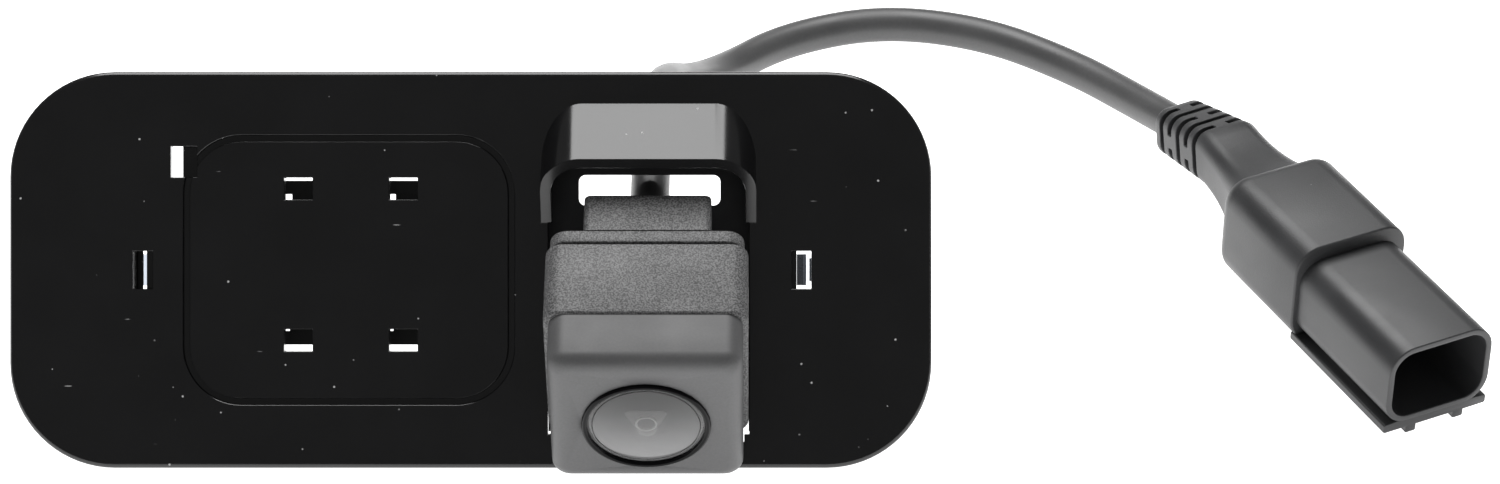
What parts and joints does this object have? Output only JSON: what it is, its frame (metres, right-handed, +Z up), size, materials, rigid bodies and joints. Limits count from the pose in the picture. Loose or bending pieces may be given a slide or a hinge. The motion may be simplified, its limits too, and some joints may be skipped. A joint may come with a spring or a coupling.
{
  "type": "backup camera kit",
  "caption": "Snap-in rear view camera kit: hooded bezel plate with a tilted sealed camera, spring clips, snap hooks and a short lead with a keyed plug-in connector.",
  "frame": {"origin": "on the bench, under the middle of the plate-and-camera assembly", "axes": "+X along the plate, -Y the side that the camera looks at, +Z up from the bench"},
  "size_m": [0.1892, 0.1161, 0.043],
  "materials": {
    "plate_gloss": "high gloss moulded black",
    "bracket_steel": "black powder coat",
    "screw_steel": "zinc plated",
    "spring_steel": "bright rolled spring steel",
    "hook_plastic": "moulded, as ejected",
    "case_satin": "fine satin metallic grey",
    "case_textured": "coarse sparkle texture, metallic grey",
    "bezel_gloss": "gloss black",
    "lens_glass": "coated, smoky",
    "lens_inner_glass": "clear, coated",
    "barrel_black": "black anodised",
    "stop_black": "flocked black",
    "seal_rubber": "matt",
    "seal_red": "silicone, matt",
    "board_green": "solder mask over glass fibre",
    "chip_black": "fine moulded",
    "sensor_die": "iridescent silicon under glass",
    "filter_glass": "coated",
    "header_white": "natural nylon",
    "spacer_brass": "turned",
    "core_pvc": "soft PVC",
    "cable_pvc": "satin PVC",
    "mould_pvc": "fine spark texture PVC",
    "shroud_nylon": "satin glass-filled nylon",
    "terminal_tin": "tin plated",
    "retainer_nylon": "satin nylon"
  },
  "bodies": {
    "root": {"face_plate": "plate_gloss", "camera_bracket": "bracket_steel", "bracket_screws": "screw_steel", "camera_screws": "screw_steel", "left_clip": "spring_steel", "right_clip": "spring_steel", "front_housing": "case_satin", "mid_housing": "case_textured", "case_seal": "seal_rubber", "rear_cap": "case_textured", "cap_seal": "seal_rubber", "rear_cap_screws": "screw_steel", "lens_bezel": "bezel_gloss", "front_element": "lens_glass", "lens_barrel": "barrel_black", "second_element": "lens_inner_glass", "aperture_stop": "stop_black", "rear_element": "lens_inner_glass", "lens_o_ring": "seal_red", "lens_holder": "barrel_black", "board_spacers": "spacer_brass", "board_screws": "screw_steel", "core_wires": "core_pvc", "cable_gland": "mould_pvc", "ir_filter": "filter_glass", "image_sensor": "sensor_die", "sensor_board": "board_green", "video_board": "board_green", "video_chip": "chip_black", "board_header": "header_white", "wire_plug": "header_white", "cable": "cable_pvc", "connector_boot": "mould_pvc", "connector_overmould": "mould_pvc", "connector_shroud": "shroud_nylon", "connector_terminals": "terminal_tin", "lead_cores": "core_pvc"},
    "left_outer_leg": {"left_clip_outer_leg": "spring_steel"},
    "left_inner_leg": {"left_clip_inner_leg": "spring_steel"},
    "right_outer_leg": {"right_clip_outer_leg": "spring_steel"},
    "right_inner_leg": {"right_clip_inner_leg": "spring_steel"},
    "hook_arm_upper_left": {"hook_upper_left": "hook_plastic"},
    "hook_arm_upper_right": {"hook_upper_right": "hook_plastic"},
    "hook_arm_lower_left": {"hook_lower_left": "hook_plastic"},
    "hook_arm_lower_right": {"hook_lower_right": "hook_plastic"},
    "retainer": {"terminal_retainer": "retainer_nylon"}
  },
  "joints": [
    {"name": "left_outer_squeeze", "type": "hinge", "parent": "root", "child": "left_outer_leg", "pos_m": [-0.04615, 0.01153, 0.01672], "axis": [0, 0.5807, 0.8141], "range_deg": [0, 6], "stiffness_Nm_per_rad": 0.05},
    {"name": "left_inner_squeeze", "type": "hinge", "parent": "root", "child": "left_inner_leg", "pos_m": [-0.04245, 0.01153, 0.01672], "axis": [0, -0.5807, -0.8141], "range_deg": [0, 6], "stiffness_Nm_per_rad": 0.05},
    {"name": "right_outer_squeeze", "type": "hinge", "parent": "root", "child": "right_outer_leg", "pos_m": [0.04615, 0.01153, 0.01672], "axis": [0, -0.5807, -0.8141], "range_deg": [0, 6], "stiffness_Nm_per_rad": 0.05},
    {"name": "right_inner_squeeze", "type": "hinge", "parent": "root", "child": "right_inner_leg", "pos_m": [0.04245, 0.01153, 0.01672], "axis": [0, 0.5807, 0.8141], "range_deg": [0, 6], "stiffness_Nm_per_rad": 0.05},
    {"name": "hook_upper_left_flex", "type": "hinge", "parent": "root", "child": "hook_arm_upper_left", "pos_m": [-0.0218, 0.0097, 0.0281], "axis": [-1, 0, 0], "range_deg": [0, 6], "stiffness_Nm_per_rad": 0.08},
    {"name": "hook_upper_right_flex", "type": "hinge", "parent": "root", "child": "hook_arm_upper_right", "pos_m": [-0.0085, 0.0097, 0.0281], "axis": [-1, 0, 0], "range_deg": [0, 6], "stiffness_Nm_per_rad": 0.08},
    {"name": "hook_lower_left_flex", "type": "hinge", "parent": "root", "child": "hook_arm_lower_left", "pos_m": [-0.0218, 0.00099, 0.01589], "axis": [1, 0, 0], "range_deg": [0, 6], "stiffness_Nm_per_rad": 0.08},
    {"name": "hook_lower_right_flex", "type": "hinge", "parent": "root", "child": "hook_arm_lower_right", "pos_m": [-0.0085, 0.00099, 0.01589], "axis": [1, 0, 0], "range_deg": [0, 6], "stiffness_Nm_per_rad": 0.08},
    {"name": "terminal_lock", "type": "slide", "parent": "root", "child": "retainer", "axis": [0.4337, -0.9011, 0], "range_m": [0, 0.0015]}
  ]
}
